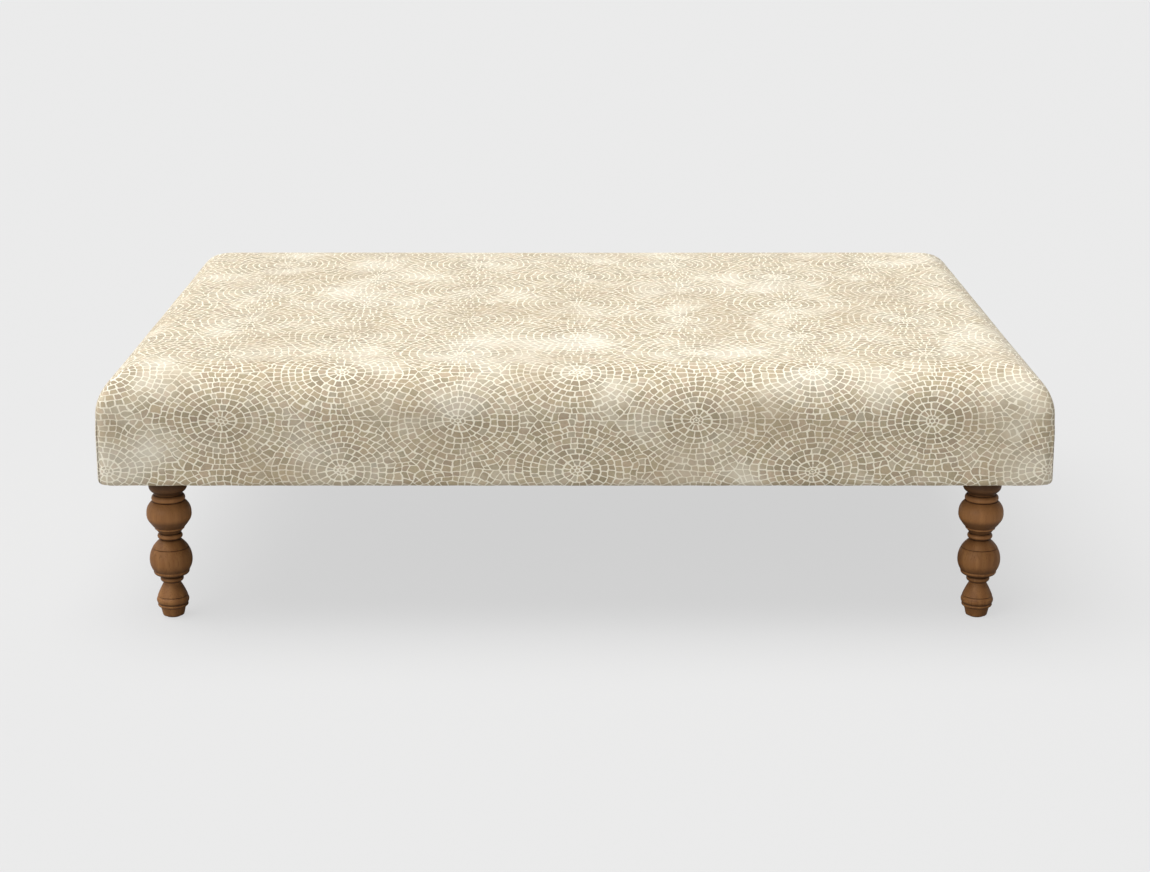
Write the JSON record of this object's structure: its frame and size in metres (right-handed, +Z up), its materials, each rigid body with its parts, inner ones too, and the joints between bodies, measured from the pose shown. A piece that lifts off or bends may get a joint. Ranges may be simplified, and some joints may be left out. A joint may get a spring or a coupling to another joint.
{
  "type": "upholstered coffee table ottoman",
  "caption": "Low rectangular ottoman used as a coffee table: one soft-edged upholstered top in printed cloth on short turned wooden legs that screw in.",
  "frame": {"origin": "on the floor under the middle of the ottoman, centre of its plan", "axes": "+X along the long side to the right, front faces -Y, +Z up"},
  "size_m": [1.27, 0.903, 0.3695],
  "materials": {
    "printed_fabric": "heavy cotton and linen cloth, matte, printed with a cream mosaic of rings on taupe",
    "wadding": "white polyester wadding",
    "foam": "firm open-cell upholstery foam",
    "plywood": "unfinished birch plywood",
    "frame_wood": "planed pine, unfinished",
    "leg_wood": "turned hardwood with a mid-brown stain, satin",
    "dust_cloth": "black spun-bonded dust cloth",
    "glide_nylon": "brown nylon",
    "zinc_steel": "zinc-plated steel"
  },
  "bodies": {
    "top": {"cover": "printed_fabric", "wadding": "wadding", "foam_core": "foam", "deck_panel": "plywood", "front_rail": "frame_wood", "rear_rail": "frame_wood", "left_rail": "frame_wood", "right_rail": "frame_wood", "cross_rail_left": "frame_wood", "cross_rail_right": "frame_wood", "dust_cover": "dust_cloth", "rail_screws": "zinc_steel", "cross_rail_screws": "zinc_steel", "block_screws": "zinc_steel", "deck_screws": "zinc_steel", "cover_staples": "zinc_steel", "dust_cover_staples": "zinc_steel", "corner_block_front_left": "frame_wood", "corner_block_front_right": "frame_wood", "corner_block_rear_left": "frame_wood", "corner_block_rear_right": "frame_wood", "tee_nut_front_left": "zinc_steel", "tee_nut_front_right": "zinc_steel", "tee_nut_rear_left": "zinc_steel", "tee_nut_rear_right": "zinc_steel"},
    "washer_front_left": {"leg_washer_front_left": "zinc_steel"},
    "leg_front_left": {"leg_front_left": "leg_wood", "hanger_bolt_front_left": "zinc_steel", "foot_glide_front_left": "glide_nylon", "glide_nail_front_left": "zinc_steel"},
    "washer_front_right": {"leg_washer_front_right": "zinc_steel"},
    "leg_front_right": {"leg_front_right": "leg_wood", "hanger_bolt_front_right": "zinc_steel", "foot_glide_front_right": "glide_nylon", "glide_nail_front_right": "zinc_steel"},
    "washer_rear_left": {"leg_washer_rear_left": "zinc_steel"},
    "leg_rear_left": {"leg_rear_left": "leg_wood", "hanger_bolt_rear_left": "zinc_steel", "foot_glide_rear_left": "glide_nylon", "glide_nail_rear_left": "zinc_steel"},
    "washer_rear_right": {"leg_washer_rear_right": "zinc_steel"},
    "leg_rear_right": {"leg_rear_right": "leg_wood", "hanger_bolt_rear_right": "zinc_steel", "foot_glide_rear_right": "glide_nylon", "glide_nail_rear_right": "zinc_steel"}
  },
  "joints": [
    {"name": "leg_drop_front_left", "type": "slide", "parent": "top", "child": "washer_front_left", "axis": [0, 0, -1], "range_m": [0, 0.01301]},
    {"name": "leg_screw_front_left", "type": "hinge", "parent": "washer_front_left", "child": "leg_front_left", "pos_m": [-0.555, -0.3715, 0.2075], "axis": [0, 0, -1], "range_deg": [0, 3744]},
    {"name": "leg_drop_front_right", "type": "slide", "parent": "top", "child": "washer_front_right", "axis": [0, 0, -1], "range_m": [0, 0.01301]},
    {"name": "leg_screw_front_right", "type": "hinge", "parent": "washer_front_right", "child": "leg_front_right", "pos_m": [0.555, -0.3715, 0.2075], "axis": [0, 0, -1], "range_deg": [0, 3744]},
    {"name": "leg_drop_rear_left", "type": "slide", "parent": "top", "child": "washer_rear_left", "axis": [0, 0, -1], "range_m": [0, 0.01301]},
    {"name": "leg_screw_rear_left", "type": "hinge", "parent": "washer_rear_left", "child": "leg_rear_left", "pos_m": [-0.555, 0.3715, 0.2075], "axis": [0, 0, -1], "range_deg": [0, 3744]},
    {"name": "leg_drop_rear_right", "type": "slide", "parent": "top", "child": "washer_rear_right", "axis": [0, 0, -1], "range_m": [0, 0.01301]},
    {"name": "leg_screw_rear_right", "type": "hinge", "parent": "washer_rear_right", "child": "leg_rear_right", "pos_m": [0.555, 0.3715, 0.2075], "axis": [0, 0, -1], "range_deg": [0, 3744]}
  ],
  "couplings": [
    {"joint": "leg_drop_front_left", "follows": "leg_screw_front_left", "m_per_rad": 0.00019894},
    {"joint": "leg_drop_front_right", "follows": "leg_screw_front_right", "m_per_rad": 0.00019894},
    {"joint": "leg_drop_rear_left", "follows": "leg_screw_rear_left", "m_per_rad": 0.00019894},
    {"joint": "leg_drop_rear_right", "follows": "leg_screw_rear_right", "m_per_rad": 0.00019894}
  ]
}
